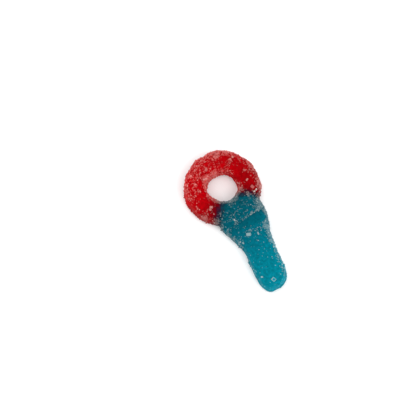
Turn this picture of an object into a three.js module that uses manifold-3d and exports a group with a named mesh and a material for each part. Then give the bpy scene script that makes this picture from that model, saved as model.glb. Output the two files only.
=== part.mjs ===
// A sour gummy key: a ring to hold it by and a stubby blade, moulded in one piece of soft candy and
// coated in sugar, lying on its flat back with the moulded side up. Its largest crystals are part of
// the solid. Millimetres, +X from the ring to the blade's tip, +Z up, flat back at z = 0.

import * as THREE from 'three';
import { mergeVertices } from 'three/addons/utils/BufferGeometryUtils.js';
import { MeshSurfaceSampler } from 'three/addons/math/MeshSurfaceSampler.js';
import Module from 'manifold-3d';

const { lerp, smoothstep } = THREE.MathUtils;

// Ring
const RING_CENTRE_X = -14.6;
const RING_OUTER_RADIUS = 14.3;
const RING_TUBE_WIDTH = 8.75;
const RING_HEIGHT = 8.5;
const RING_DOME = 2.1;

// Blade, with distances along it taken from the ring's centre
const SHANK_START = 8;
const TIP_DISTANCE = 43.9;
const BLADE_HALF_WIDTH = 5.75;
const BLADE_HEIGHT = 7.4;
const BLADE_END_HEIGHT = 7.8;
const BLADE_DOME = 2.5;
const BLADE_LEVEL_FROM = 25.4;
const TIP_ROUND_LENGTH = 6.8;
const TIP_ROUND_POWER = 2.2;
const TIP_CROWN_LENGTH = 6;
const TIP_CROWN_POWER = 2.6;
const TIP_EDGE_LENGTH = 2.2;
const TIP_EDGE_POWER = 3;
const TIP_SKEW = 1.2;
const TIP_SKEW_FROM = 40.5;
const TIP_CAP_LENGTH = 0.1;

// Collar between ring and blade: a neck, a smooth sunk band and a raised bar. It tapers sooner on its
// -Y side than on its +Y side.
const COLLAR_EXTRA_HALF_WIDTH = 3.3;
const COLLAR_TAPER_FROM = 13.5;
const COLLAR_TAPER_TO_MINUS_Y = 25;
const COLLAR_TAPER_TO_PLUS_Y = 27.5;
const COLLAR_OFFSET_Y = 1.3;
const COLLAR_OFFSET_LOST = 1.0;
const COLLAR_OFFSET_TO = 36;
const BURIED_HEIGHT = 6.5;
const NECK_FROM = 11.5;
const NECK_TO = 14.9;
const NECK_HEIGHT = 8.3;
const BAND_HEIGHT = 7.1;
const BAR_FROM = 19.1;
const BAR_TO = 22.6;
const BAR_HEIGHT = 8.2;
const NECK_RUN = 1.1;
const BAR_RUN = 2.2;
const NECK_SLANT = 0.13;
const BAR_SLANT = 0.2;

// Section, widest a little above the flat back
const WAIST_HEIGHT = 2.6;
const BACK_SQUARENESS = 5;
const BACK_TRIM = 0.3;

// Unevenness of the soft candy: waves across its surface, each with a direction, a length and a depth
const WAVES = [
  { direction: new THREE.Vector3(1, 0.35, 0.2), length: 9.4, phase: 3.65, depth: 0.13 },
  { direction: new THREE.Vector3(-0.45, 1, 0.3), length: 8.1, phase: 2.5, depth: 0.12 },
  { direction: new THREE.Vector3(0.7, -0.8, 0.5), length: 5.3, phase: 2.9, depth: 0.08 },
  { direction: new THREE.Vector3(0.9, 0.9, -0.6), length: 3.6, phase: 4.4, depth: 0.05 },
];

// Largest sugar crystals
const CRYSTAL_COUNT = 205;
const CRYSTAL_SMALLEST = 0.95;
const CRYSTAL_LARGEST = 1.6;
const CRYSTAL_THICKNESS = 0.7;
const CRYSTAL_NARROWEST = 0.65;
const CRYSTAL_LIFT = 0.1;
const CRYSTAL_TILT = 0.9;
const CRYSTAL_REACH = 0.7;
const CRYSTAL_SPACING = 1.55;
const CRYSTAL_LOWEST_Z = 1.5;
const CRYSTAL_SEED = 41;
const HOLE_CLEAR_RADIUS = 4.75;
const BARE_BAND_SLACK = 0.5;
const BARE_BLADE_HALF_WIDTH = 3.2;
const BARE_BLADE_CHANCE = 0.3;

// Fineness
const SECTION_STEPS = 18;
const RING_STEPS = 44;
const COLLAR_STATION = 0.85;
const BLADE_STATION = 1.9;
const TIP_STATIONS = 9;

const TEAL = '#0a7c8e';

const wasm = await Module();
wasm.setup();

// A closed geometry as a solid, from its positions alone
function solidOf(geometry) {
  const bare = new THREE.BufferGeometry();
  bare.setAttribute('position', geometry.getAttribute('position'));
  if (geometry.index) {
    bare.setIndex(geometry.index);
  }
  const merged = mergeVertices(bare, 1e-5);
  const triangles = [];
  for (let i = 0; i < merged.index.count; i += 3) {
    const corners = [0, 1, 2].map((k) => merged.index.getX(i + k));
    if (new Set(corners).size === 3) {
      triangles.push(...corners);
    }
  }
  return new wasm.Manifold(new wasm.Mesh({
    numProp: 3,
    vertProperties: new Float32Array(merged.getAttribute('position').array),
    triVerts: new Uint32Array(triangles),
  }));
}

function geometryOf(solid) {
  const mesh = solid.getMesh();
  const geometry = new THREE.BufferGeometry();
  geometry.setAttribute('position', new THREE.BufferAttribute(mesh.vertProperties, 3));
  geometry.setIndex(new THREE.BufferAttribute(mesh.triVerts, 1));
  geometry.computeVertexNormals();
  return geometry;
}

// Moves every vertex of a geometry to where place(vertex) puts it
function reshape(geometry, place) {
  const position = geometry.getAttribute('position');
  const vertex = new THREE.Vector3();
  for (let i = 0; i < position.count; i++) {
    vertex.fromBufferAttribute(position, i);
    place(vertex);
    position.setXYZ(i, vertex.x, vertex.y, vertex.z);
  }
  return geometry;
}

// From 1 down to 0 over the last length before end, along a rounded corner
function rounding(distance, end, length, power) {
  const t = Math.max(0, (distance - end + length) / length);
  return Math.max(0, 1 - t ** power) ** (1 / power);
}

// The domed section at an angle from 0 to 2 pi: how far sideways, from -1 to 1, and how high
function sectionAt(angle, height, dome, edge = 1) {
  const across = Math.cos(angle);
  const up = Math.sin(angle);
  const power = 2 / (up > 0 ? dome : BACK_SQUARENESS);
  const side = Math.sign(across) * Math.abs(across) ** power;
  if (up > 0) {
    return { side, z: WAIST_HEIGHT + (height - WAIST_HEIGHT) * up ** power };
  }
  const drop = (WAIST_HEIGHT + BACK_TRIM) * Math.abs(up) ** power * edge;
  return { side, z: Math.max(0, WAIST_HEIGHT - drop) };
}

// Pushes the surface in and out along its normals, without lifting the flat back
function uneven(geometry) {
  geometry.computeVertexNormals();
  const normal = geometry.getAttribute('normal');
  let i = 0;
  return reshape(geometry, (p) => {
    const depths = WAVES.map(({ direction, length, phase, depth }) => (
      depth * Math.sin((2 * Math.PI * p.dot(direction)) / length + phase)
    ));
    const push = depths.reduce((sum, depth) => sum + depth);
    const rise = Math.min(1, p.z / WAIST_HEIGHT);
    p.x += normal.getX(i) * push;
    p.y += normal.getY(i) * push;
    p.z += normal.getZ(i) * push * rise;
    i++;
  });
}

// Merges the copies of vertices along seams and poles, so that they move together
function welded(geometry) {
  geometry.deleteAttribute('normal');
  geometry.deleteAttribute('uv');
  return mergeVertices(geometry, 1e-5);
}

function ringGeometry() {
  const centreLine = RING_OUTER_RADIUS - RING_TUBE_WIDTH / 2;
  const profile = [];
  for (let i = 0; i <= SECTION_STEPS; i++) {
    const angle = (2 * Math.PI * (i % SECTION_STEPS)) / SECTION_STEPS;
    const { side, z } = sectionAt(angle, RING_HEIGHT, RING_DOME);
    profile.push(new THREE.Vector2(centreLine + (side * RING_TUBE_WIDTH) / 2, z));
  }
  const ring = new THREE.LatheGeometry(profile, RING_STEPS).rotateX(Math.PI / 2);
  return uneven(welded(ring)).translate(RING_CENTRE_X, 0, 0);
}

// How far the collar stands out past the blade's edge, on the side where it tapers up to taperTo
function collarExtraAt(distance, taperTo) {
  return COLLAR_EXTRA_HALF_WIDTH * (1 - smoothstep(distance, COLLAR_TAPER_FROM, taperTo));
}

// Half the width, the middle and the height of the blade and collar at a distance from the ring
function halfWidthAt(distance) {
  const minusY = collarExtraAt(distance, COLLAR_TAPER_TO_MINUS_Y);
  const plusY = collarExtraAt(distance, COLLAR_TAPER_TO_PLUS_Y);
  const tip = rounding(distance, TIP_DISTANCE, TIP_ROUND_LENGTH, TIP_ROUND_POWER);
  return (BLADE_HALF_WIDTH + (minusY + plusY) / 2) * tip;
}

function middleAt(distance) {
  const minusY = collarExtraAt(distance, COLLAR_TAPER_TO_MINUS_Y);
  const plusY = collarExtraAt(distance, COLLAR_TAPER_TO_PLUS_Y);
  const straightened = COLLAR_OFFSET_LOST * smoothstep(distance, BLADE_LEVEL_FROM, COLLAR_OFFSET_TO);
  const skew = Math.max(0, (distance - TIP_SKEW_FROM) / (TIP_DISTANCE - TIP_SKEW_FROM));
  return COLLAR_OFFSET_Y + (plusY - minusY) / 2 - straightened - TIP_SKEW * skew ** 2;
}

function heightAt(distance) {
  let height = lerp(BURIED_HEIGHT, NECK_HEIGHT, smoothstep(distance, SHANK_START, NECK_FROM));
  height = lerp(height, BAND_HEIGHT, smoothstep(distance, NECK_TO, NECK_TO + NECK_RUN));
  height = lerp(height, BAR_HEIGHT, smoothstep(distance, BAR_FROM - BAR_RUN / 2, BAR_FROM + BAR_RUN / 2));
  height = lerp(height, BLADE_HEIGHT, smoothstep(distance, BAR_TO, BLADE_LEVEL_FROM));
  return lerp(height, BLADE_END_HEIGHT, smoothstep(distance, BLADE_LEVEL_FROM, TIP_DISTANCE));
}

// Distances of the cross-sections, close together at the collar's steps and round the tip
function stations() {
  const list = [];
  for (let d = SHANK_START; d < BLADE_LEVEL_FROM; d += COLLAR_STATION) {
    list.push(d);
  }
  const tipFrom = TIP_DISTANCE - TIP_ROUND_LENGTH;
  for (let d = BLADE_LEVEL_FROM; d < tipFrom; d += BLADE_STATION) {
    list.push(d);
  }
  for (let i = 0; i <= TIP_STATIONS; i++) {
    const turn = (Math.PI / 2) * (i / TIP_STATIONS);
    list.push(tipFrom + (TIP_ROUND_LENGTH - TIP_CAP_LENGTH) * Math.sin(turn));
  }
  return list;
}

function shankGeometry() {
  const along = stations();
  const rows = along.length - 1;
  const column = new THREE.CylinderGeometry(1, 1, 1, SECTION_STEPS, rows);
  const shank = reshape(welded(column), (p) => {
    const flat = Math.hypot(p.x, p.z) < 0.5;
    const distance = along[Math.round((p.y + 0.5) * rows)];
    const angle = Math.atan2(-p.z, p.x);
    const crown = rounding(distance, TIP_DISTANCE, TIP_CROWN_LENGTH, TIP_CROWN_POWER);
    const edge = rounding(distance, TIP_DISTANCE, TIP_EDGE_LENGTH, TIP_EDGE_POWER);
    const slant = lerp(-NECK_SLANT, BAR_SLANT, smoothstep(distance, NECK_TO, BAR_TO));
    const stepped = distance - slant * halfWidthAt(distance) * Math.cos(angle);
    const top = WAIST_HEIGHT + (heightAt(stepped) - WAIST_HEIGHT) * crown;
    const { side, z } = sectionAt(angle, top, BLADE_DOME, edge);
    p.x = RING_CENTRE_X + distance;
    p.y = middleAt(distance) + (flat ? 0 : halfWidthAt(distance) * side);
    p.z = flat ? WAIST_HEIGHT : z;
  });
  return uneven(shank);
}

// A repeatable source of numbers from 0 to 1
function seededRandom(seed) {
  let state = seed;
  return () => {
    state = (state * 1664525 + 1013904223) % 4294967296;
    return state / 4294967296;
  };
}

// How likely a crystal stays at a place: few on the blade's middle, none on the smooth band
function crystalChance(point, normal) {
  const distance = point.x - RING_CENTRE_X;
  const across = point.y - middleAt(distance);
  const facesUp = normal.z > 0.6;
  const onBand = distance > NECK_TO - BARE_BAND_SLACK && distance < BAR_FROM + BARE_BAND_SLACK;
  if (facesUp && onBand) {
    return 0;
  }
  const onBlade = distance > BAR_TO + BAR_RUN;
  return facesUp && onBlade && Math.abs(across) < BARE_BLADE_HALF_WIDTH ? BARE_BLADE_CHANCE : 1;
}

// A cuboid crystal half sunk in the surface, with its flattest side more or less along it
function crystalAt(point, normal, size, random) {
  const facing = new THREE.Quaternion().setFromUnitVectors(new THREE.Vector3(0, 0, 1), normal);
  const tilt = new THREE.Euler(
    CRYSTAL_TILT * (random() - 0.5),
    CRYSTAL_TILT * (random() - 0.5),
    Math.PI * random(),
  );
  const thickness = size * CRYSTAL_THICKNESS;
  const place = point.clone().addScaledVector(normal, thickness * CRYSTAL_LIFT);
  const box = new THREE.BoxGeometry(size, size * lerp(CRYSTAL_NARROWEST, 1, random()), thickness);
  box.applyQuaternion(new THREE.Quaternion().setFromEuler(tilt));
  box.applyQuaternion(facing).translate(place.x, place.y, place.z);
  return solidOf(box);
}

// Crystals spread evenly over a body, largest first, clear of the floor and of the hole
function crystals(body) {
  const random = seededRandom(CRYSTAL_SEED);
  const sampler = new MeshSurfaceSampler(new THREE.Mesh(geometryOf(body)));
  sampler.setRandomGenerator(random).build();
  const places = [];
  const solids = [];
  while (solids.length < CRYSTAL_COUNT) {
    const point = new THREE.Vector3();
    const normal = new THREE.Vector3();
    sampler.sample(point, normal);
    const size = lerp(CRYSTAL_LARGEST, CRYSTAL_SMALLEST, Math.sqrt(solids.length / CRYSTAL_COUNT));
    const stays = random() < crystalChance(point, normal);
    const crowded = places.some((other) => other.distanceTo(point) < CRYSTAL_SPACING);
    const inHole = Math.hypot(point.x - RING_CENTRE_X, point.y) < HOLE_CLEAR_RADIUS + CRYSTAL_REACH * size;
    if (stays && !crowded && !inHole && point.z > CRYSTAL_LOWEST_Z) {
      places.push(point);
      solids.push(crystalAt(point, normal, size, random));
    }
  }
  return solids;
}

function keySolid() {
  const body = solidOf(ringGeometry()).add(solidOf(shankGeometry()));
  return crystals(body).reduce((whole, crystal) => whole.add(crystal), body);
}

const candy = new THREE.MeshStandardMaterial({ color: TEAL, roughness: 0.5, metalness: 0 });
const key = new THREE.Mesh(geometryOf(keySolid()), candy);
key.name = 'gummy_key';

const group = new THREE.Group();
group.add(key);

export default group;
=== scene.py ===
"""A sour gummy key of two poured colours, coated in sanding sugar, on a pale studio floor.

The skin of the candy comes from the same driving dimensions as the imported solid, in metres here.
Its sugar is made of single crystals: three sizes that stick by seeded chance where sugar clings,
and a few larger ones that stand out, each laid in a place of its own.
"""

import math
from typing import NamedTuple

import bmesh
import bpy
import numpy as np
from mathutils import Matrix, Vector, noise


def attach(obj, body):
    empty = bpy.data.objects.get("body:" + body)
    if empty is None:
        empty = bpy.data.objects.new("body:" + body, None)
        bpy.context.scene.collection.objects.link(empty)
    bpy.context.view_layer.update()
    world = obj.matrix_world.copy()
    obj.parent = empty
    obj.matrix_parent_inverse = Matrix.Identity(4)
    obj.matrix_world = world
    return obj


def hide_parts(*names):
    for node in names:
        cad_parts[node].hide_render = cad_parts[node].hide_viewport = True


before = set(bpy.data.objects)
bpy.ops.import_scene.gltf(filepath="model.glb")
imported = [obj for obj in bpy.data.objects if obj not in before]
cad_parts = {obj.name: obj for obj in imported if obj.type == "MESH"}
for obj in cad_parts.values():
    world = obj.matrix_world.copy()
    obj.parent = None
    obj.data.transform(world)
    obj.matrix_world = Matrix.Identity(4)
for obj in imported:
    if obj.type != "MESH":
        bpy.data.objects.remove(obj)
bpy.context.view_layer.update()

MM = 0.001

# Ring
RING_X = -14.6 * MM
RING_OUTER_RADIUS = 14.3 * MM
RING_TUBE_WIDTH = 8.75 * MM
RING_TUBE_MIDDLE = RING_OUTER_RADIUS - RING_TUBE_WIDTH / 2
RING_HEIGHT = 8.5 * MM
RING_DOME = 2.1

# Blade, with distances along it taken from the ring's centre
SHANK_START = 8 * MM
TIP_DISTANCE = 43.9 * MM
BLADE_HALF_WIDTH = 5.75 * MM
BLADE_HEIGHT = 7.4 * MM
BLADE_END_HEIGHT = 7.8 * MM
BLADE_DOME = 2.5
BLADE_LEVEL_FROM = 25.4 * MM
TIP_ROUND_LENGTH = 6.8 * MM
TIP_ROUND_POWER = 2.2
TIP_CROWN_LENGTH = 6 * MM
TIP_CROWN_POWER = 2.6
TIP_EDGE_LENGTH = 2.2 * MM
TIP_EDGE_POWER = 3
TIP_SKEW = 1.2 * MM
TIP_SKEW_FROM = 40.5 * MM

# Collar: a neck, a smooth sunk band and a raised bar
COLLAR_EXTRA_HALF_WIDTH = 3.3 * MM
COLLAR_TAPER_FROM = 13.5 * MM
COLLAR_TAPER_TO = (25 * MM, 27.5 * MM)
COLLAR_OFFSET_Y = 1.3 * MM
COLLAR_OFFSET_LOST = 1.0 * MM
COLLAR_OFFSET_TO = 36 * MM
BURIED_HEIGHT = 6.5 * MM
NECK_FROM = 11.5 * MM
NECK_TO = 14.9 * MM
NECK_HEIGHT = 8.3 * MM
BAND_HEIGHT = 7.1 * MM
BAR_FROM = 19.1 * MM
BAR_TO = 22.6 * MM
BAR_HEIGHT = 8.2 * MM
NECK_RUN = 1.1 * MM
BAR_RUN = 2.2 * MM
NECK_SLANT = 0.13
BAR_SLANT = 0.2

# Section, widest a little above the flat back, which is raised for the crystals under it
WAIST_HEIGHT = 2.6 * MM
BACK_SQUARENESS = 5
BACK_TRIM = 0.3 * MM
BACK_LIFT = 0.25 * MM

# Unevenness of the soft candy: waves across its surface, as direction, length, phase and depth
WAVES = [
    ((1, 0.35, 0.2), 9.4 * MM, 3.65, 0.13 * MM),
    ((-0.45, 1, 0.3), 8.1 * MM, 2.5, 0.12 * MM),
    ((0.7, -0.8, 0.5), 5.3 * MM, 2.9, 0.08 * MM),
    ((0.9, 0.9, -0.6), 3.6 * MM, 4.4, 0.05 * MM),
]

# Skin: points round the ring and round a section, and sections along the collar and blade, which
# get closer over the last part
RING_STEPS = 240
SECTION_STEPS = 96
STATION_COUNT = 220
CLOSER_FROM = 0.6
VOXEL = 0.22 * MM
SOFTENING, SOFTENING_ROUNDS = 0.5, 6
COAT_DEPTH = 0.3 * MM

# How far the noise of one seed lies from the next one's
SEED_SHIFT = (3.7, 5.1, 7.3)

# Grain of the skin, less deep on the collar's smooth band, and how it mottles the candy
GRAIN_SEED, FINE_GRAIN_SEED = 1, 2
GRAIN_LENGTH = 0.9 * MM
FINE_GRAIN_LENGTH = GRAIN_LENGTH / 2.3
FINE_GRAIN_SHARE = 0.5
GRAIN_DEPTH = 0.05 * MM
GRAIN_BUMP = 0.06 * MM
BAND_SMOOTHNESS = 0.85
MOTTLE = (0.76, 1.2)

# Where the red pour meets the teal one: a line on each side of the ring, seen from above, from the
# ring's centre, and how quickly the colour turns teal past it
POUR_EDGES = [
    ((6.4 * MM, 3.2 * MM), (10.1 * MM, 10.2 * MM), 1.7),
    ((6.3 * MM, -3.7 * MM), (11.2 * MM, -7.8 * MM), 1.2),
]

# How far that boundary wanders, in millimetres, over what length, and where the teal is darkest
SEAM_WANDER = 5.0
SEAM_WANDER_LENGTH = 1.4 * MM
TEAL_FROM = 6 * MM

# From here on, a pair is the start and end of a smooth step where nothing else is said: along the
# key or out from the ring's centre, across the key, or in how far up the skin faces, from -1 to 1

# Where the skin's back, upper side and tops begin or end, and where the ring passes into the collar
BACK_FACING = (-0.9, -0.5)
UPPER_FACING = (-0.1, 0.1)
SHANK_TOP_FACING = (0.3, 0.6)
RING_TOP_FACING = (0.35, 0.75)
RING_END = (7 * MM, 10 * MM)

# Painted light and shade in the candy's colour: how much brighter it is painted in the hole and on
# the ring's -Y side and darker on its +Y side, and how much darker low on the ring's outside
HOLE_PAINTED_LIGHT = 0.45
SIDE_PAINTED_LIGHT = 0.15
LOW_OUTSIDE_PAINTED_SHADE = 0.16

# Where that is
HOLE_EDGE = (6 * MM, 8.5 * MM)
PALE_SIDE = (-6 * MM, 6 * MM)
PALE_SIDE_END = (0, 7 * MM)
OUTSIDE_EDGE = (11 * MM, 13.5 * MM)
OUTSIDE_END = (5 * MM, 9 * MM)
OUTSIDE_TOP = (2 * MM, 7 * MM)

# The bare part of the collar's band, from just past the neck to an arc just past the bar's edge
BARE_PAST_NECK = (0.75 * MM, 1.05 * MM)
BARE_PAST_BAR = 0.6 * MM
BARE_ARC_MIDDLE = 3 * MM
BARE_ARC_CURVE = 0.06 / MM
BARE_ARC_FADE = 0.3 * MM
BARE_SIDES = ((-2.9 * MM, -1.5 * MM), (6.8 * MM, 7.6 * MM))

# The row of crystals on the edge between neck and band, and the line of sugar on the hole's lip
RIDGE_PAST_NECK = 0.48 * MM
RIDGE_WIDTH = 0.26 * MM
RIDGE_SIDES = ((-1.8 * MM, -0.6 * MM), (4.6 * MM, 5.6 * MM))
LIP_RADIUS = 7.1 * MM
LIP_WIDTH = 0.65 * MM
LIP_FROM = (3.5 * MM, 5 * MM)
LIP_ABOVE = (5 * MM, 6 * MM)

# Share of sugar round the ring's rims and crown, as its mean, its swing and the turn in degrees
# where it is most
OUTER_RIM_SUGAR = (0.34, 0.3, 120)
INNER_RIM_SUGAR = (0.2, 0.4, 240)
CROWN_SUGAR = (0.065, 0.07, 185)
LEAST_INNER_SUGAR = 0.02

# Share of sugar on the sides of the collar and blade, as its first level and its smooth steps
SIDE_SUGAR = (0.04, [(22 * MM, 28 * MM, 0.018), (35 * MM, 38 * MM, 0.01)])

# Share of sugar along the top of the collar and blade, by the distance from the ring's centre
TOP_SUGAR = [
    (9 * MM, 0.07), (13 * MM, 0.05), (14.5 * MM, 0.03), (20 * MM, 0.025), (21.3 * MM, 0.047),
    (23 * MM, 0.035), (25 * MM, 0.01), (29 * MM, 0.01), (31.5 * MM, 0.006), (42 * MM, 0.006),
]

# Shares that come on top of these: on the far side, which is +Y, on the near one, along the top's
# edges and at the places named. Then what a thin spot loses, and what back and blade keep
FAR_SIDE_SUGAR = 0.42
NEAR_SIDE_SUGAR = 0.1
TOP_EDGE_SUGAR = 0.15
RIDGE_SUGAR = 0.9
LIP_SUGAR = 0.9
HEAP_SUGAR = 0.3
THIN_SPOT_LOSS = 0.95
BACK_SHARE = 0.6
BLADE_SHARE = 0.5

# Where the sides, the top's edges and the blade begin or end for that, with the edges as a share of
# the half width
FAR_SIDE = (0, 3 * MM)
FAR_SIDE_END = (30 * MM, 38 * MM)
NEAR_SIDE = (2 * MM, 4 * MM)
NEAR_SIDE_REACH = ((15 * MM, 18 * MM), (22 * MM, 26 * MM))
TOP_EDGE = (0.5, 0.75)
TOP_EDGE_FROM = (10 * MM, 14 * MM)
SHANK_FROM = (8 * MM, 10 * MM)
BLADE_FROM = (BAR_TO, BAR_TO + 3 * MM)

# Patches and strings that sugar gathers in, with their strength on the ring and off it as pairs,
# and where the one passes into the other
PATCH_SEED, STRING_SEED = 58, 4
PATCH_LENGTH = 3.8 * MM
STRING_LENGTH = 1.4 * MM
PATCH_SHARPNESS = 2.5
STRING_SHARPNESS = 5
PATCH_STRENGTH = (0.7, 0.25)
STRING_STRENGTH = (0.45, 1)
HEAP_STRENGTH = 0.5
DRIFTS_OFF_RING = (8 * MM, 12 * MM)

# Where more sugar lies on the upper side, and where less: how far along the key from the ring's
# centre, how far to its side, and how wide, in mm
HEAPS = [
    (-13.1, -3.9, 0.9), (-12.8, 2.2, 1.4), (-10.1, 3.0, 1.4), (-10.6, 7.4, 1.2), (-7.6, -2.8, 0.7),
    (-5.8, -0.2, 1.1), (-8.0, -9.0, 1.0), (-1.2, 13.3, 1.5), (-1.2, -9.0, 0.6), (5.9, 12.2, 1.0),
    (8.0, -11.5, 1.0), (5.0, -4.3, 1.3), (7.4, 0.9, 1.5), (5.5, 3.4, 0.9), (7.9, 6.5, 1.1),
    (11.3, 9.2, 1.7), (11.2, -8.6, 1.2), (14.6, 9.4, 1.7), (14.2, 7.2, 1.0), (15.4, -2.5, 0.8),
    (13.8, -7.6, 0.8), (17.2, -6.8, 0.8), (20.8, 0.6, 0.7), (22.0, 6.4, 1.3), (24.8, 6.1, 1.2),
    (22.0, -4.8, 0.5), (19.7, -5.4, 0.5),
]
THIN_SPOTS = [
    (-9.8, -2.2, 1.0), (-8.7, 4.8, 1.2), (-7.6, -0.4, 1.4), (-7.9, 6.3, 0.9), (-5.5, 8.5, 1.2),
    (-3.6, -7.2, 1.6), (-4.3, -10.7, 0.8), (-6.8, 11.4, 1.7), (-1.8, 7.4, 1.3), (1.4, -8.5, 1.4),
    (2.2, -12.8, 1.3), (1.7, 9.1, 1.5), (3.0, 11.5, 0.9), (4.9, 8.7, 1.5), (5.2, -11.8, 1.2),
    (8.8, -8.9, 1.1), (9.5, 5.0, 1.0), (10.0, -2.4, 1.1), (20.1, -4.2, 1.2), (23.2, -2.0, 1.0),
    (24.1, 4.4, 0.9), (24.8, -3.7, 1.1), (26.6, -4.8, 1.2),
]

# How cloudy the sugar is, and how much more or less so by its place: it looks whiter where it lies
# thick and dry, and clearer where the candy wets it. Its limits are the least and the most
MEAN_CLOUDINESS = 1.1
SHANK_CLOUDINESS = 0.4
BLADE_CLOUDINESS = 0.3
DRIFT_CLOUDINESS = 0.4
HEAP_CLOUDINESS = 0.55
RIDGE_CLOUDINESS = 0.9
LIP_CLOUDINESS = 0.8
# Whiter sugar where the candy's colour is painted brighter, as painted light
PAINTED_LIGHT_CLOUDINESS = 0.5
TOP_CLEARNESS = 0.1
OUTSIDE_CLEARNESS = 0.35
CLOUDINESS_LIMITS = (0.3, 2)

# Where the shank, the blade, the top and the ring's outside begin for that
SHANK_CLOUDY_FROM = (8 * MM, 11 * MM)
BLADE_CLOUDY_FROM = (24 * MM, 28 * MM)
TOP_CLEAR_FACING = (0.4, 0.8)
OUTSIDE_CLEAR_FROM = (10 * MM, 12 * MM)
OUTSIDE_CLEAR_FACING = (0.3, 0.8)

# Crystals, by the least and the most of each: widths and thicknesses as shares of the length, how
# worn the corners are and how far crystals stand out. Then how far they tilt, and how white they
# are at their lower and upper ends
WIDTHS = (0.55, 0.95)
THICKNESSES = (0.45, 0.8)
WORN_CORNERS = (0.84, 1.08)
LIFTS = (-0.15, 0.25)
TILT = 0.4
WHITE_BELOW, WHITE_ABOVE = 0.3, 1.4

# How much more common small and clear crystals are: a power for their size, and for their
# whiteness a beta distribution, with its least value and its spread
SIZE_LEAN = 1.4
WHITENESS_LEAN = (1.4, 4)
LEAST_WHITENESS = 0.5
WHITENESS_SPREAD = 1.9

# How much brighter the candy's colour is painted in the crystals, as painted light
SUGAR_PAINTED_BRIGHTNESS = 1.2

THROWN_SHARE = 1


class Sugar(NamedTuple):
    """One size of sanding sugar, with how it lies on the candy."""
    seed: int
    per_area: float  # crystals thrown at each square metre of the candy
    smallest: float  # least length of a crystal
    largest: float  # and most
    chamfer: float  # how much of its edges is cut off, as a share of its size
    paleness: float  # how white it looks on the whole
    spacing: float  # size of the cells that hold one crystal each
    gathered: float  # how much more sticks where sugar gathered
    on_ring: float  # how well it sticks to the ring
    on_shank: float  # and how well to the collar and blade


SUGARS = {
    "sugar_fine": Sugar(
        seed=303, per_area=16 / MM ** 2, smallest=0.2 * MM, largest=0.4 * MM, chamfer=0,
        paleness=0.05, spacing=0.12 * MM, gathered=1.0, on_ring=1.6, on_shank=2.3),
    "sugar_medium": Sugar(
        seed=17, per_area=7 / MM ** 2, smallest=0.38 * MM, largest=0.75 * MM, chamfer=0,
        paleness=0.065, spacing=0.32 * MM, gathered=2.2, on_ring=1, on_shank=0.3),
    "sugar_coarse": Sugar(
        seed=207, per_area=0.4 / MM ** 2, smallest=0.7 * MM, largest=0.95 * MM, chamfer=0.13,
        paleness=0.09, spacing=0.8 * MM, gathered=2, on_ring=1, on_shank=0.4),
}

# Single crystals that stand out: how far along the key from the ring's centre, how far to its
# side, length and width, in mm, turn in degrees, whiteness, and clearness within their faces
SINGLES = [
    (21.86, -0.79, 1.8, 1.15, 62, 0.155, 0),
    (23.0, 2.45, 0.65, 0.5, 20, 0.17, 0),
    (15.2, 3.6, 0.75, 0.5, 40, 0.17, 0),
    (23.2, -3.6, 0.8, 0.6, 35, 0.17, 0),
    (41.0, -0.8, 1.5, 1.3, 20, 0.15, 1),
    (38.0, -3.9, 0.75, 0.6, 70, 0.24, 0),
    (3.1, 8.8, 1.1, 0.6, 112, 0.12, 0),
    (6.2, -8.1, 1.2, 0.95, 62, 0.12, 0),
    (6.9, -8.7, 0.9, 0.8, 20, 0.1, 0),
    (6.5, 9.0, 1.4, 1.1, 30, 0.06, 0),
    (7.6, 10.0, 0.8, 0.7, 110, 0.27, 0),
    (8.1, 9.0, 0.9, 0.55, 75, 0.28, 0),
    (6.8, 12.0, 0.8, 0.5, 140, 0.3, 0),
]
SINGLE_SEED = 37
SINGLE_FACING = 0.2
SINGLE_THICKNESS = 0.6
SINGLE_LIFT = 0.15
SINGLE_CHAMFER = 0.1
SINGLE_BORDER = 0.14

# A crystal's faces with more area than this are its sides, and the others its cut-off edges
LEAST_SIDE_AREA = 0.25

# A Mix node's two colours and its result, by number, because other sockets share their names
MIX_FROM, MIX_TO, MIX_RESULT = 6, 7, 2

# Studio, with each lamp's place in metres and power in watts
FLOOR_REACH = 2
SURROUND_STRENGTH = 0.9
LAMP_SIZE = 0.6
LAMPS = {
    "softbox": ((0.38, 0.2, 0.4), 2.4),
    "fill": ((-0.2, -0.18, 0.56), 1.4),
}

# Camera, aimed to the left and in front of the ring's centre as the picture sees the key
LENS = 200
SENSOR = 36
CLIP_START = 0.01
VIEW_WIDTH = 153.4 * MM
VIEW_ELEVATION = math.radians(71.3)
KEY_TURN = math.radians(61.92)
AIM_LEFT = 5.22 * MM
AIM_FRONT = 7.79 * MM


def linear(hex_colour):
    """An sRGB hex colour as the linear one that shaders take."""
    channels = [int(hex_colour[i:i + 2], 16) / 255 for i in (1, 3, 5)]
    return (*(c / 12.92 if c <= 0.04045 else ((c + 0.055) / 1.055) ** 2.4 for c in channels), 1.0)


def ramp(value, low, high):
    """A smooth step from 0 at low to 1 at high."""
    t = np.clip((np.asarray(value, float) - low) / (high - low), 0, 1)
    return t * t * (3 - 2 * t)


def between(value, rise, fall):
    """1 between two smooth steps, one up and one down, each as its start and end."""
    return ramp(value, *rise) * (1 - ramp(value, *fall))


def lerp(a, b, t):
    """From a at 0 to b at 1."""
    return a + (b - a) * t


def levels(value, first, steps):
    """From a first level on to others by smooth steps, each as its start, its end and its level."""
    level = first
    for start, end, reached in steps:
        level = lerp(level, reached, ramp(value, start, end))
    return level


def bell(apart, width):
    """1 in a middle, and down to 0 about two widths apart from it."""
    return np.exp(-(apart / width) ** 2)


def unit(vectors):
    """The same directions, each of length 1."""
    return vectors / np.maximum(np.linalg.norm(vectors, axis=-1, keepdims=True), 1e-12)


def rounding(distance, length, power):
    """From 1 down to 0 over the last length before the tip, along a rounded corner."""
    t = np.clip((distance - TIP_DISTANCE + length) / length, 0, 1)
    return (1 - t ** power) ** (1 / power)


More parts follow.
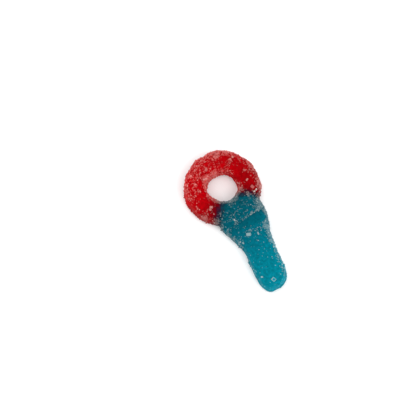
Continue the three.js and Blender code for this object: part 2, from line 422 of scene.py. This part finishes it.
def collar_extra(distance, side):
    """How far the collar stands out past the blade's edge, on side 0 or 1, tapering sooner on 0."""
    return COLLAR_EXTRA_HALF_WIDTH * (1 - ramp(distance, COLLAR_TAPER_FROM, COLLAR_TAPER_TO[side]))


def half_width(distance):
    """Half the width of the collar and blade, down to nothing at the tip."""
    width = BLADE_HALF_WIDTH + (collar_extra(distance, 0) + collar_extra(distance, 1)) / 2
    return width * rounding(distance, TIP_ROUND_LENGTH, TIP_ROUND_POWER)


def middle(distance):
    """How far to the side the middle of the collar and blade lies."""
    pulled = (collar_extra(distance, 1) - collar_extra(distance, 0)) / 2
    straightened = COLLAR_OFFSET_LOST * ramp(distance, BLADE_LEVEL_FROM, COLLAR_OFFSET_TO)
    skew = np.clip((distance - TIP_SKEW_FROM) / (TIP_DISTANCE - TIP_SKEW_FROM), 0, None)
    return COLLAR_OFFSET_Y + pulled - straightened - TIP_SKEW * skew ** 2


def crown_height(distance):
    """Height of the moulded side along the collar and blade."""
    return levels(distance, BURIED_HEIGHT, [
        (SHANK_START, NECK_FROM, NECK_HEIGHT),
        (NECK_TO, NECK_TO + NECK_RUN, BAND_HEIGHT),
        (BAR_FROM - BAR_RUN / 2, BAR_FROM + BAR_RUN / 2, BAR_HEIGHT),
        (BAR_TO, BLADE_LEVEL_FROM, BLADE_HEIGHT),
        (BLADE_LEVEL_FROM, TIP_DISTANCE, BLADE_END_HEIGHT),
    ])


def slanted(distance, across):
    """Distance along the key as the collar's steps run, which aren't quite square to it."""
    return distance - across * lerp(-NECK_SLANT, BAR_SLANT, ramp(distance, NECK_TO, BAR_TO))


def section(angle, height, dome, edge=1.0):
    """The domed section at angles round it: how far sideways, from -1 to 1, and how high."""
    across, up = np.cos(angle), np.sin(angle)
    power = np.where(up > 0, 2 / dome, 2 / BACK_SQUARENESS)
    side = np.sign(across) * np.abs(across) ** power
    rise = np.abs(up) ** power
    top = WAIST_HEIGHT + (height - WAIST_HEIGHT) * rise
    bottom = np.maximum(BACK_LIFT, WAIST_HEIGHT - (WAIST_HEIGHT + BACK_TRIM) * rise * edge)
    return side, np.where(up > 0, top, bottom)


def new_mesh(name, points, faces):
    """A mesh object from points and faces, in the scene."""
    mesh = bpy.data.meshes.new(name)
    mesh.from_pydata(np.asarray(points).tolist(), [], faces)
    mesh.update()
    obj = bpy.data.objects.new(name, mesh)
    bpy.context.scene.collection.objects.link(obj)
    return obj


def coordinates(mesh):
    """A mesh's points as rows of x, y and z."""
    points = np.empty(len(mesh.vertices) * 3, np.float32)
    mesh.vertices.foreach_get("co", points)
    return points.reshape(-1, 3).astype(float)


def normals(mesh):
    """The directions that a mesh's points face."""
    directions = np.empty(len(mesh.vertices) * 3, np.float32)
    mesh.vertex_normals.foreach_get("vector", directions)
    return directions.reshape(-1, 3).astype(float)


def move_vertices(mesh, points):
    mesh.vertices.foreach_set("co", np.asarray(points, np.float32).ravel())
    mesh.update()


def add_attribute(mesh, name, values):
    attribute = mesh.attributes.new(name, "FLOAT", "POINT")
    attribute.data.foreach_set("value", np.asarray(values, np.float32))


def apply_modifiers(obj):
    """Makes what an object's modifiers give its real mesh."""
    graph = bpy.context.evaluated_depsgraph_get()
    made = bpy.data.meshes.new_from_object(obj.evaluated_get(graph))
    obj.modifiers.clear()
    obj.data = made


def quads(rows, columns, closed):
    """Faces between rows of points that close round, and between last and first row if closed."""
    faces = []
    for i in range(rows if closed else rows - 1):
        for j in range(columns):
            k = (j + 1) % columns
            a, b = i * columns, (i + 1) % rows * columns
            faces.append((a + j, a + k, b + k, b + j))
    return faces


def waved(obj, centre_x=0.0):
    """Pushes a surface in and out by the candy's waves, without lifting its back."""
    points, directions = coordinates(obj.data), normals(obj.data)
    local = points - np.array([centre_x, 0, 0])
    push = np.zeros(len(points))
    for direction, length, phase, depth in WAVES:
        push += depth * np.sin(2 * math.pi * (local @ np.array(direction)) / length + phase)
    moved = directions * push[:, None]
    moved[:, 2] *= np.clip((points[:, 2] - BACK_LIFT) / WAIST_HEIGHT, 0, 1)
    move_vertices(obj.data, points + moved)
    return obj


def ring_surface():
    """The ring as one tube, with its section at each turn."""
    turn = np.linspace(0, 2 * math.pi, RING_STEPS, endpoint=False)[:, None]
    angle = np.linspace(0, 2 * math.pi, SECTION_STEPS, endpoint=False)[None, :]
    side, z = section(angle, RING_HEIGHT, RING_DOME)
    radius = RING_TUBE_MIDDLE + side * RING_TUBE_WIDTH / 2
    x = RING_X + radius * np.cos(turn)
    y = radius * np.sin(turn)
    points = np.stack([x, y, np.broadcast_to(z, x.shape)], -1).reshape(-1, 3)
    return waved(new_mesh("ring", points, quads(RING_STEPS, SECTION_STEPS, True)), RING_X)


def shank_surface():
    """Collar and blade as cross-sections from inside the ring to the tip, closer near the tip."""
    share = np.linspace(0, 1, STATION_COUNT)
    even = lerp(SHANK_START, TIP_DISTANCE, share)
    eased = TIP_DISTANCE - (TIP_DISTANCE - SHANK_START) * (1 - share) ** 2
    distance = lerp(even, eased, ramp(share, CLOSER_FROM, 1))[:, None]
    angle = np.linspace(0, 2 * math.pi, SECTION_STEPS, endpoint=False)[None, :]
    stepped = slanted(distance, half_width(distance) * np.cos(angle))
    crown = rounding(distance, TIP_CROWN_LENGTH, TIP_CROWN_POWER)
    edge = rounding(distance, TIP_EDGE_LENGTH, TIP_EDGE_POWER)
    top = WAIST_HEIGHT + (crown_height(stepped) - WAIST_HEIGHT) * crown
    side, z = section(angle, top, BLADE_DOME, edge)
    x = np.broadcast_to(RING_X + distance, z.shape)
    y = middle(distance) + half_width(distance) * side
    points = np.stack([x, y, z], -1).reshape(-1, 3)
    faces = quads(STATION_COUNT, SECTION_STEPS, False)
    last = (STATION_COUNT - 1) * SECTION_STEPS
    faces.append(tuple(range(SECTION_STEPS))[::-1])
    faces.append(tuple(last + j for j in range(SECTION_STEPS)))
    return waved(new_mesh("shank", points, faces))


def in_key(points):
    """Distance from the ring's centre along the key, and how far to the side of its middle line."""
    distance = points[:, 0] - RING_X
    return distance, points[:, 1] - middle(distance)


def from_centre(points):
    """How far points lie from the ring's centre, seen from above."""
    return np.hypot(points[:, 0] - RING_X, points[:, 1])


def pour(points):
    """How far into the teal pour a point is, in millimetres, and less than 0 in the red one."""
    flat = points[:, :2] - np.array([RING_X, 0])
    depths = []
    for inner, outer, quickness in POUR_EDGES:
        along = unit(np.array(outer) - np.array(inner))
        inward = np.array([along[1], -along[0]]) * np.sign(along[1])
        depth = (flat - np.array(inner)) @ inward
        depths.append(depth * np.where(depth > 0, quickness, 1))
    return np.minimum(*depths) / MM


def glow(points):
    """Painted light and shade that scale the candy's colour and its sugar's, about 1."""
    distance, radius = points[:, 0] - RING_X, from_centre(points)
    in_hole = 1 - ramp(radius, *HOLE_EDGE)
    pale_side = 1 - 2 * ramp(points[:, 1], *PALE_SIDE)
    pale_side *= (1 - ramp(distance, *PALE_SIDE_END)) * (1 - in_hole)
    low_outside = ramp(radius, *OUTSIDE_EDGE) * (1 - ramp(points[:, 2], *OUTSIDE_TOP))
    low_outside *= 1 - ramp(distance, *OUTSIDE_END)
    return 1 + HOLE_PAINTED_LIGHT * in_hole + SIDE_PAINTED_LIGHT * pale_side - LOW_OUTSIDE_PAINTED_SHADE * low_outside


def bareness(points, directions):
    """1 on the smooth band of the collar, where no sugar stuck, down to 0 away from it."""
    distance, across = in_key(points)
    start, whole = (NECK_TO + past for past in BARE_PAST_NECK)
    arc = BAR_FROM + BARE_PAST_BAR - BARE_ARC_CURVE * (across - BARE_ARC_MIDDLE) ** 2
    along = ramp(slanted(distance, across), start, whole)
    along *= 1 - ramp(distance, arc - BARE_ARC_FADE, arc + BARE_ARC_FADE)
    return along * between(across, *BARE_SIDES) * ramp(directions[:, 2], *SHANK_TOP_FACING)


def field(points, length, seed):
    """Smooth noise from about -1 to 1 with lumps of a length, for each point."""
    shift = Vector([seed * step for step in SEED_SHIFT])
    return np.array([noise.noise(Vector(p) / length + shift) for p in points])


def skin():
    """The candy without its sugar, as one closed surface."""
    ring, shank = ring_surface(), shank_surface()
    with bpy.context.temp_override(active_object=ring, selected_editable_objects=[ring, shank]):
        bpy.ops.object.join()
    remesh = ring.modifiers.new("one skin", "REMESH")
    remesh.mode = "VOXEL"
    remesh.voxel_size = VOXEL
    smooth = ring.modifiers.new("soft corners", "SMOOTH")
    smooth.factor = SOFTENING
    smooth.iterations = SOFTENING_ROUNDS
    apply_modifiers(ring)
    mesh = ring.data
    points, directions = coordinates(mesh), normals(mesh)
    grain = field(points, GRAIN_LENGTH, GRAIN_SEED)
    grain += FINE_GRAIN_SHARE * field(points, FINE_GRAIN_LENGTH, FINE_GRAIN_SEED)
    depth = GRAIN_DEPTH * (1 - BAND_SMOOTHNESS * bareness(points, directions))
    sunk = COAT_DEPTH * ramp(points[:, 2], BACK_LIFT, WAIST_HEIGHT)
    move_vertices(mesh, points + directions * (grain * depth - sunk)[:, None])
    mesh.polygons.foreach_set("use_smooth", np.ones(len(mesh.polygons), bool))
    add_attribute(mesh, "pour", pour(points))
    # Painted light and shade, kept on the skin for its colour
    add_attribute(mesh, "glow", glow(points))
    ring.name = mesh.name = "candy"
    return ring


def near(points, spots):
    """How near the closest spot is, from 1 in its middle down to 0 away from all."""
    closeness = np.zeros(len(points))
    for along, aside, spread in spots:
        apart = np.hypot(points[:, 0] - RING_X - along * MM, points[:, 1] - aside * MM)
        closeness = np.maximum(closeness, bell(apart, spread * MM))
    return closeness


def lip(points):
    """1 along the lip of the hole on the collar's side, where a line of sugar lies."""
    collar_side = ramp(points[:, 0] - RING_X, *LIP_FROM) * ramp(points[:, 2], *LIP_ABOVE)
    return bell(from_centre(points) - LIP_RADIUS, LIP_WIDTH) * collar_side


def ridge(distance, across):
    """1 on the edge between neck and band, where a row of crystals sits."""
    row = bell(slanted(distance, across) - NECK_TO - RIDGE_PAST_NECK, RIDGE_WIDTH)
    return row * between(across, *RIDGE_SIDES)


def round_ring(turn, mean, swing, most_at):
    """A share that rises and falls once round the ring, and is most at one turn, in degrees."""
    return mean + swing * np.cos(np.radians(turn - most_at))


def ring_sugar(points, directions):
    """How much sugar clings to the ring: much on its rims, more so on some sides, less on top."""
    turn = np.degrees(np.arctan2(points[:, 1], points[:, 0] - RING_X))
    outer = round_ring(turn, *OUTER_RIM_SUGAR)
    inner = np.maximum(LEAST_INNER_SUGAR, round_ring(turn, *INNER_RIM_SUGAR))
    rim = np.where(from_centre(points) > RING_TUBE_MIDDLE, outer, inner)
    return lerp(rim, round_ring(turn, *CROWN_SUGAR), ramp(directions[:, 2], *RING_TOP_FACING))


def shank_sugar(points, directions):
    """How much sugar clings to the collar and blade: most on the +Y side, least on the top."""
    distance, across = in_key(points)
    far_side = ramp(across, *FAR_SIDE) * (1 - ramp(distance, *FAR_SIDE_END))
    near_side = ramp(-across, *NEAR_SIDE) * between(distance, *NEAR_SIDE_REACH)
    side = levels(distance, *SIDE_SUGAR)
    side += FAR_SIDE_SUGAR * far_side + NEAR_SIDE_SUGAR * near_side
    outward = across / np.maximum(half_width(distance), MM)
    top = np.interp(distance, *zip(*TOP_SUGAR))
    top += TOP_EDGE_SUGAR * ramp(outward, *TOP_EDGE) * ramp(distance, *TOP_EDGE_FROM)
    clinging = lerp(side, top, ramp(directions[:, 2], *SHANK_TOP_FACING))
    return clinging + RIDGE_SUGAR * ridge(distance, across)


def cling(points, directions):
    """How much sugar clings at a place, from 0 to 1."""
    ring, shank = ring_sugar(points, directions), shank_sugar(points, directions)
    amount = lerp(ring, shank, ramp(points[:, 0] - RING_X, *RING_END))
    amount += LIP_SUGAR * lip(points)
    upper = ramp(directions[:, 2], *UPPER_FACING)
    amount += HEAP_SUGAR * upper * near(points, HEAPS)
    amount *= 1 - THIN_SPOT_LOSS * upper * near(points, THIN_SPOTS)
    amount *= 1 - bareness(points, directions)
    return amount * lerp(BACK_SHARE, 1, ramp(directions[:, 2], *BACK_FACING))


def drifts(points):
    """Where sugar gathered, from about -1 to 1: in patches, and in strings as wide as a crystal."""
    off_ring = ramp(points[:, 0] - RING_X, *DRIFTS_OFF_RING)
    patches = PATCH_SHARPNESS * field(points, PATCH_LENGTH, PATCH_SEED)
    strings = 1 - STRING_SHARPNESS * np.abs(field(points, STRING_LENGTH, STRING_SEED))
    gathered = lerp(*PATCH_STRENGTH, off_ring) * np.clip(patches, -1, 1)
    gathered += lerp(*STRING_STRENGTH, off_ring) * np.clip(strings, -1, 1)
    return lerp(gathered, HEAP_STRENGTH, near(points, HEAPS))


def cloudiness(points, directions):
    """How cloudy the sugar is at a place, about 1."""
    distance, across = in_key(points)
    outside = ramp(from_centre(points), *OUTSIDE_CLEAR_FROM) * (1 - ramp(distance, *RING_END))
    outside *= 1 - ramp(directions[:, 2], *OUTSIDE_CLEAR_FACING)
    cloudy = (
        MEAN_CLOUDINESS
        + SHANK_CLOUDINESS * ramp(distance, *SHANK_CLOUDY_FROM)
        + BLADE_CLOUDINESS * ramp(distance, *BLADE_CLOUDY_FROM)
        + DRIFT_CLOUDINESS * drifts(points)
        + HEAP_CLOUDINESS * near(points, HEAPS)
        + RIDGE_CLOUDINESS * ridge(distance, across)
        + LIP_CLOUDINESS * lip(points)
        # whiter where the candy is painted brighter: painted light
        + PAINTED_LIGHT_CLOUDINESS * (glow(points) - 1)
        - TOP_CLEARNESS * ramp(directions[:, 2], *TOP_CLEAR_FACING)
        - OUTSIDE_CLEARNESS * outside
    )
    return np.clip(cloudy, *CLOUDINESS_LIMITS)


def thrown(body, rng, per_area):
    """Points all over the body where crystals are thrown at it, with their normals."""
    mesh = body.data
    mesh.calc_loop_triangles()
    corners = np.empty(len(mesh.loop_triangles) * 3, np.int32)
    mesh.loop_triangles.foreach_get("vertices", corners)
    corners = corners.reshape(-1, 3)
    points, directions = coordinates(mesh), normals(mesh)
    a, b, c = (points[corners[:, k]] for k in range(3))
    area = np.linalg.norm(np.cross(b - a, c - a), axis=1) / 2
    count = int(per_area * area.sum() * THROWN_SHARE)
    pick = rng.choice(len(area), count, p=area / area.sum())
    share = rng.dirichlet((1, 1, 1), count)
    where = np.einsum("nk,nkd->nd", share, points[corners[pick]])
    return where, unit(np.einsum("nk,nkd->nd", share, directions[corners[pick]]))


def stuck(rng, where, facing, kind):
    """Which of the thrown crystals stick: more where sugar clings, and one in each cell."""
    distance = where[:, 0] - RING_X
    shank = ramp(distance, *SHANK_FROM) * lerp(1, BLADE_SHARE, ramp(distance, *BLADE_FROM))
    amount = cling(where, facing) * (1 + kind.gathered * drifts(where))
    amount *= lerp(kind.on_ring, kind.on_shank, shank)
    stays = np.flatnonzero(rng.random(len(where)) < amount)
    cells = np.floor(where[stays] / kind.spacing).astype(int)
    return stays[np.sort(np.unique(cells, axis=0, return_index=True)[1])]


def crystal_form(chamfer, border):
    """A cube of side 1 with cut-off edges and a border round its sides, as points and faces."""
    form = bmesh.new()
    bmesh.ops.create_cube(form, size=1)
    if chamfer:
        bmesh.ops.bevel(form, geom=form.edges, offset=chamfer, segments=1, affect="EDGES")
    if border:
        sides = [face for face in form.faces if face.calc_area() > LEAST_SIDE_AREA]
        bmesh.ops.inset_individual(form, faces=sides, thickness=border)
    points = np.array([v.co for v in form.verts])
    faces = [[v.index for v in f.verts] for f in form.faces]
    form.free()
    return points, faces


def crystal_mesh(name, rng, where, facing, along, shape, lift, frost, chamfer, border=0, clear=0):
    """Cuboids of given shapes, each in its place on the candy and above the floor, as one mesh.

    Frost is how white each one is, and clear how much of it is lost inside a border of its faces.
    """
    count = len(where)
    length_way = unit(along - facing * np.sum(along * facing, -1, keepdims=True))
    turn = np.stack([length_way, np.cross(facing, length_way), facing], -1)
    form, form_faces = crystal_form(chamfer, border)
    corners = form[None] * shape[:, None] * rng.uniform(*WORN_CORNERS, (count, len(form), 1))
    points = np.einsum("nij,nkj->nki", turn, corners) + (where + facing * lift[:, None])[:, None]
    lowest = points[..., 2].min(1)
    points[..., 2] += np.maximum(0, -lowest)[:, None]
    faces = [
        [n * len(form) + k for k in face]
        for n in range(count) for face in form_faces
    ]
    piece = new_mesh(name, points.reshape(-1, 3), faces)
    paler = lerp(WHITE_BELOW, WHITE_ABOVE, 0.5 + form[:, 2])
    inside_border = np.sort(np.abs(form), -1)[:, 1] < 0.5 - chamfer - border / 2
    cloudy = 1 - np.reshape(clear, (-1, 1)) * inside_border
    add_attribute(piece.data, "pour", np.repeat(pour(where), len(form)))
    add_attribute(piece.data, "glow", np.repeat(glow(where), len(form)))
    add_attribute(piece.data, "frost", (frost[:, None] * paler * cloudy).ravel())
    return piece


def crystals(name, body, kind):
    """Crystals of one kind, scattered over the candy and sunk partly in it."""
    rng = np.random.default_rng(kind.seed)
    where, facing = thrown(body, rng, kind.per_area)
    count = len(where)
    size = kind.smallest * (kind.largest / kind.smallest) ** (rng.random(count) ** SIZE_LEAN)
    width, thickness = rng.uniform(*WIDTHS, count), rng.uniform(*THICKNESSES, count)
    shape = size[:, None] * np.stack([np.ones(count), width, thickness], -1)
    whiteness = LEAST_WHITENESS + WHITENESS_SPREAD * rng.beta(*WHITENESS_LEAN, count)
    tilted = unit(facing + TILT * rng.normal(size=(count, 3)))
    along = rng.normal(size=(count, 3))
    lift = rng.uniform(*LIFTS, count) * shape[:, 2]
    stays = stuck(rng, where, facing, kind)
    frost = kind.paleness * cloudiness(where[stays], facing[stays]) * whiteness[stays]
    return crystal_mesh(name, rng, where[stays], tilted[stays], along[stays], shape[stays],
                        lift[stays], frost, kind.chamfer)


def single_crystals(name, body):
    """The crystals that stand out one by one, lying flat on the candy's upper side."""
    points, directions = coordinates(body.data), normals(body.data)
    upper = directions[:, 2] >= SINGLE_FACING
    points, directions = points[upper], directions[upper]
    x, y, length, width, turn, whiteness, clearness = np.array(SINGLES).T
    under = [
        np.argmin(np.hypot(points[:, 0] - RING_X - along, points[:, 1] - aside))
        for along, aside in zip(x * MM, y * MM)
    ]
    turn = np.radians(turn)
    length_way = np.stack([np.cos(turn), np.sin(turn), np.zeros(len(turn))], -1)
    shape = MM * np.stack([length, width, SINGLE_THICKNESS * width], -1)
    return crystal_mesh(name, np.random.default_rng(SINGLE_SEED), points[under], directions[under],
                        length_way, shape, SINGLE_LIFT * shape[:, 2], whiteness,
                        SINGLE_CHAMFER, SINGLE_BORDER, clearness)


def add(tree, kind, inputs=None, stops=None, **settings):
    """A new node with its settings, inputs as values or other nodes' outputs, and colour stops."""
    node = tree.nodes.new(kind)
    for name, value in settings.items():
        setattr(node, name, value)
    for name, value in (inputs or {}).items():
        if isinstance(value, bpy.types.NodeSocket):
            tree.links.new(value, node.inputs[name])
        else:
            node.inputs[name].default_value = value
    if stops:
        elements = node.color_ramp.elements
        while len(elements) < len(stops):
            elements.new(1)
        for element, (position, colour) in zip(elements, stops):
            element.position, element.color = position, linear(colour)
    return node


def new_material(name):
    """A material and its node tree, still empty."""
    material = bpy.data.materials.new(name)
    material.use_nodes = True
    material.node_tree.nodes.clear()
    return material, material.node_tree


def poured_colour(tree):
    """Colour of the candy: red ring, teal blade that pales to its tip, maroon where they mixed.

    The ranges of depth past the seam are in millimetres.
    """
    place = add(tree, "ShaderNodeTexCoord").outputs["Object"]
    depth = add(tree, "ShaderNodeAttribute", attribute_name="pour").outputs["Fac"]
    wander = add(tree, "ShaderNodeTexNoise", {
        "Vector": place, "Scale": 1 / SEAM_WANDER_LENGTH, "Detail": 2.0})
    seam = add(tree, "ShaderNodeMath", {
        0: wander.outputs["Fac"], 1: SEAM_WANDER, 2: depth}, operation="MULTIPLY_ADD").outputs[0]
    to_seam = add(tree, "ShaderNodeMapRange", {"Value": depth, "From Min": -20.0, "From Max": -1.0})
    red = add(tree, "ShaderNodeValToRGB", {"Fac": to_seam.outputs[0]}, [
        (0.0, "#c2000a"), (0.45, "#a30007"), (0.7, "#960006"), (1.0, "#880006")])
    over_seam = add(tree, "ShaderNodeMapRange", {"Value": seam, "From Min": -0.6, "From Max": 4.6})
    mixed = add(tree, "ShaderNodeValToRGB", {"Fac": over_seam.outputs[0]}, [
        (0.0, "#780006"), (0.35, "#57000c"), (0.55, "#301024"), (0.75, "#142a3a"),
        (1.0, "#003e4a")])
    x = add(tree, "ShaderNodeSeparateXYZ", {"Vector": place}).outputs["X"]
    to_tip = add(tree, "ShaderNodeMapRange", {
        "Value": x, "From Min": RING_X + TEAL_FROM, "From Max": RING_X + TIP_DISTANCE})
    teal = add(tree, "ShaderNodeValToRGB", {"Fac": to_tip.outputs[0]}, [
        (0.0, "#00434f"), (0.16, "#00505e"), (0.3, "#005766"), (0.4, "#005f6f"),
        (0.55, "#006879"), (0.7, "#007080"), (0.85, "#007484"), (1.0, "#007181")])
    out_of_red = add(tree, "ShaderNodeMapRange", {"Value": seam, "From Min": -1.6, "From Max": 1.2})
    into_teal = add(tree, "ShaderNodeMapRange", {"Value": seam, "From Min": 3.7, "From Max": 5.0})
    darkened = add(tree, "ShaderNodeMix", {
        "Factor": out_of_red.outputs[0], MIX_FROM: red.outputs["Color"],
        MIX_TO: mixed.outputs["Color"]}, data_type="RGBA")
    poured = add(tree, "ShaderNodeMix", {
        "Factor": into_teal.outputs[0], MIX_FROM: darkened.outputs[MIX_RESULT],
        MIX_TO: teal.outputs["Color"]}, data_type="RGBA")
    return poured.outputs[MIX_RESULT]


def gelatine_candy():
    """Gelatine candy moulded in starch: light scatters in it, so its colour is deep and soft.

    Its surface is dull under the sugar, and hardly mirrors the lamps.
    """
    material, tree = new_material("gelatine_candy")
    place = add(tree, "ShaderNodeTexCoord").outputs["Object"]
    grain = add(tree, "ShaderNodeTexNoise", {
        "Vector": place, "Scale": 1 / GRAIN_LENGTH, "Detail": 3.0}).outputs["Fac"]
    mottle = add(tree, "ShaderNodeMapRange", {
        "Value": grain, "From Min": 0.3, "From Max": 0.7, "To Min": MOTTLE[0],
        "To Max": MOTTLE[1]})
    # The painted light and shade brighten or darken the candy's colour
    light = add(tree, "ShaderNodeAttribute", attribute_name="glow").outputs["Fac"]
    value = add(tree, "ShaderNodeMath", {0: mottle.outputs[0], 1: light}, operation="MULTIPLY")
    colour = add(tree, "ShaderNodeHueSaturation", {
        "Value": value.outputs[0], "Color": poured_colour(tree)})
    bump = add(tree, "ShaderNodeBump", {"Height": grain, "Distance": GRAIN_BUMP})
    shader = add(tree, "ShaderNodeBsdfPrincipled", {
        "Base Color": colour.outputs["Color"],
        "Normal": bump.outputs["Normal"],
        "Roughness": 0.45,
        "IOR": 1.47,
        "Specular IOR Level": 0.012,
        "Subsurface Weight": 0.7,
        "Subsurface Radius": (3.0, 1.0, 1.0),
        "Subsurface Scale": 2.5 * MM,
    })
    add(tree, "ShaderNodeOutputMaterial", {"Surface": shader.outputs["BSDF"]})
    return material


def sanding_sugar():
    """Sanding sugar: clear crystals that take the candy's colour, and look pale where cloudy."""
    material, tree = new_material("sanding_sugar")
    frost = add(tree, "ShaderNodeAttribute", attribute_name="frost").outputs["Fac"]
    # Painted light and shade as on the candy, and the candy's colour painted brighter in the
    # crystals
    light = add(tree, "ShaderNodeAttribute", attribute_name="glow").outputs["Fac"]
    value = add(tree, "ShaderNodeMath", {0: light, 1: SUGAR_PAINTED_BRIGHTNESS}, operation="MULTIPLY")
    through = add(tree, "ShaderNodeHueSaturation", {
        "Value": value.outputs[0], "Color": poured_colour(tree)})
    colour = add(tree, "ShaderNodeMix", {
        "Factor": frost, MIX_FROM: through.outputs["Color"], MIX_TO: linear("#efece0")},
        data_type="RGBA")
    shader = add(tree, "ShaderNodeBsdfPrincipled", {
        "Base Color": colour.outputs[MIX_RESULT],
        "Roughness": 0.2,
        "IOR": 1.54,
        "Specular IOR Level": 0.15,
        "Subsurface Weight": 0.5,
        "Subsurface Radius": (1.0, 1.0, 1.0),
        "Subsurface Scale": 0.2 * MM,
    })
    add(tree, "ShaderNodeOutputMaterial", {"Surface": shader.outputs["BSDF"]})
    return material


def matte_board():
    """Pale matte board under the candy: an even, dull surface."""
    material, tree = new_material("matte_board")
    shader = add(tree, "ShaderNodeBsdfPrincipled", {
        "Base Color": linear("#f4f4f4"), "Roughness": 0.9})
    add(tree, "ShaderNodeOutputMaterial", {"Surface": shader.outputs["BSDF"]})
    return material


def dress(piece, material):
    """Gives a piece its material, and lets it stand for the plain candy on the only body."""
    piece.data.materials.clear()
    piece.data.materials.append(material)
    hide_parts("gummy_key")
    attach(piece, "root")


def studio():
    """A pale floor, an even white surround and two soft lamps above."""
    corners = [(-1, -1, 0), (1, -1, 0), (1, 1, 0), (-1, 1, 0)]
    floor = new_mesh("floor", FLOOR_REACH * np.array(corners), [(0, 1, 2, 3)])
    floor.data.materials.append(matte_board())
    world = bpy.data.worlds.new("studio")
    world.use_nodes = True
    background = world.node_tree.nodes["Background"]
    background.inputs["Color"].default_value = linear("#ffffff")
    background.inputs["Strength"].default_value = SURROUND_STRENGTH
    bpy.context.scene.world = world
    for name, (place, power) in LAMPS.items():
        lamp = bpy.data.lights.new(name, "AREA")
        lamp.size = LAMP_SIZE
        lamp.energy = power
        box = bpy.data.objects.new(name, lamp)
        box.location = place
        box.rotation_euler = (-box.location).to_track_quat("-Z", "Y").to_euler()
        bpy.context.scene.collection.objects.link(box)
    bpy.context.scene.view_settings.view_transform = "Standard"


def camera():
    """Looks down on the key at the picture's angle, with the ring at the picture's place."""
    lens = bpy.data.cameras.new("camera")
    lens.lens = LENS
    lens.sensor_width = SENSOR
    lens.clip_start = CLIP_START
    right = Vector((math.cos(KEY_TURN), math.sin(KEY_TURN), 0))
    away = Vector((-math.sin(KEY_TURN), math.cos(KEY_TURN), 0))
    back = Vector((0, 0, 1)) * math.sin(VIEW_ELEVATION) - away * math.cos(VIEW_ELEVATION)
    target = Vector((RING_X, 0, WAIST_HEIGHT)) - right * AIM_LEFT - away * AIM_FRONT
    eye = bpy.data.objects.new("camera", lens)
    eye.location = target + back * VIEW_WIDTH * LENS / SENSOR
    eye.rotation_euler = (-back).to_track_quat("-Z", "Y").to_euler()
    bpy.context.scene.collection.objects.link(eye)
    bpy.context.scene.camera = eye


camera()
studio()
candy = skin()
sugar = [crystals(name, candy, kind) for name, kind in SUGARS.items()]
sugar.append(single_crystals("sugar_single", candy))
dress(candy, gelatine_candy())
sugar_material = sanding_sugar()
for piece in sugar:
    dress(piece, sugar_material)
